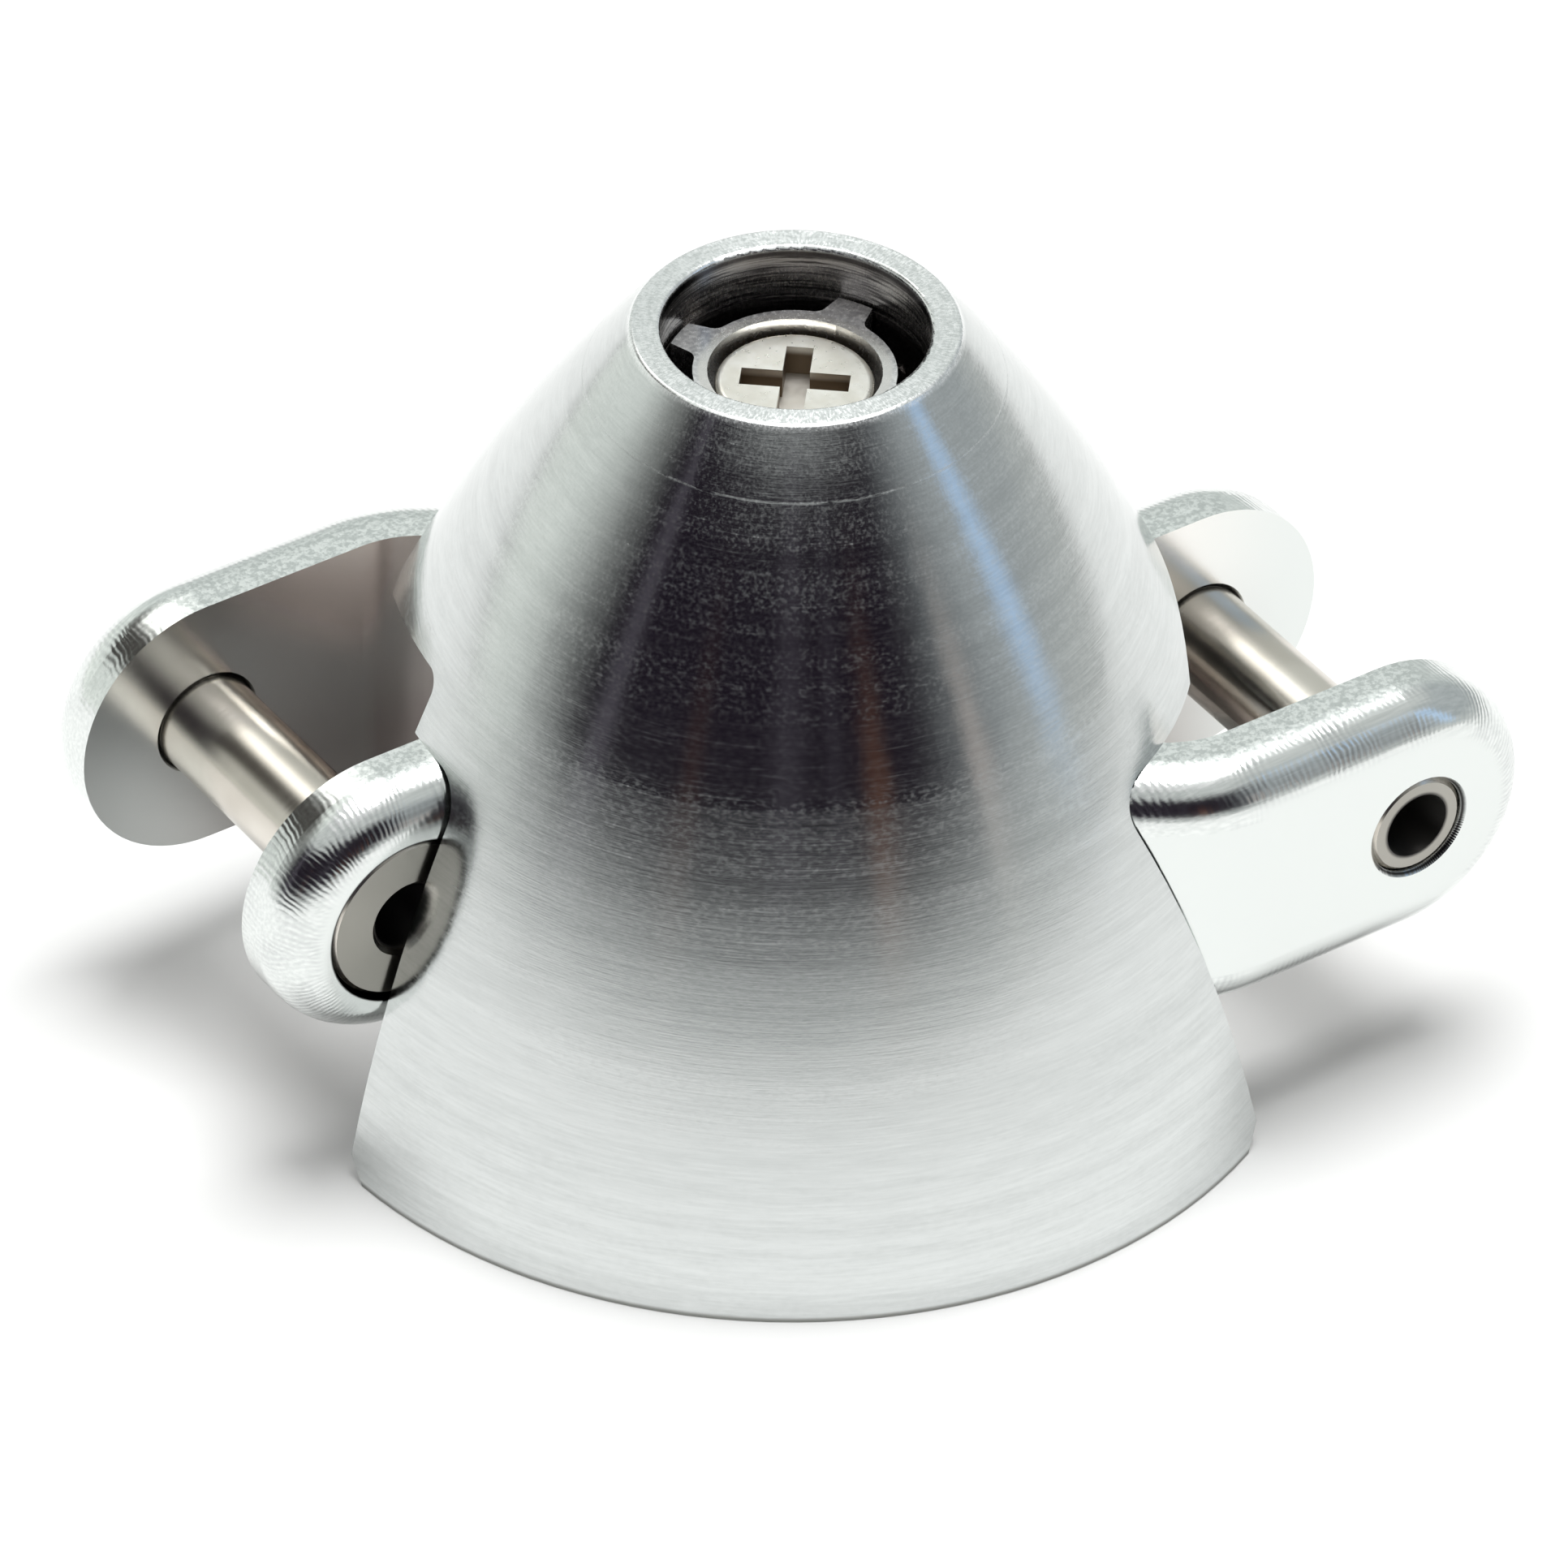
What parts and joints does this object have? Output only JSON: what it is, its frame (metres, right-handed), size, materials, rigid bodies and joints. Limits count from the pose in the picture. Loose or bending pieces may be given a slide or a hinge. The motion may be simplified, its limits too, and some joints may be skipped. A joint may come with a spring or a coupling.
{
  "type": "folding propeller spinner",
  "caption": "Turned aluminium spinner cone with an open nose, over an offset forked yoke whose arms come out through side slots and carry hollow hinge pins for folding blades.",
  "frame": {"origin": "where the motor shaft's axis meets the plane of the cone's open back", "axes": "+Z forward along the shaft axis to the open nose, +X along the arm whose fork is offset to -Y, +Y completes the right-handed frame"},
  "size_m": [0.0338, 0.03, 0.0227],
  "materials": {
    "turned_aluminium": "turned, fine rings, satin",
    "milled_aluminium": "milled, bright",
    "pin_steel": "ground, satin",
    "washer_aluminium": "turned",
    "screw_steel": "nickel plated",
    "collet_aluminium": "turned",
    "nut_steel": "plain"
  },
  "bodies": {
    "spinner": {"spinner_cone": "turned_aluminium", "blade_yoke": "milled_aluminium", "star_washer": "washer_aluminium", "cone_screw": "screw_steel", "collet": "collet_aluminium", "collet_nut": "nut_steel"},
    "left_pin": {"blade_pin_left": "pin_steel"},
    "right_pin": {"blade_pin_right": "pin_steel"}
  },
  "joints": [
    {"name": "left_pin_turn", "type": "hinge", "parent": "spinner", "child": "left_pin", "pos_m": [-0.0128, 0.0059, 0.008], "axis": [0, 1, 0], "continuous": true},
    {"name": "right_pin_turn", "type": "hinge", "parent": "spinner", "child": "right_pin", "pos_m": [0.0128, -0.0059, 0.008], "axis": [0, 1, 0], "continuous": true}
  ]
}
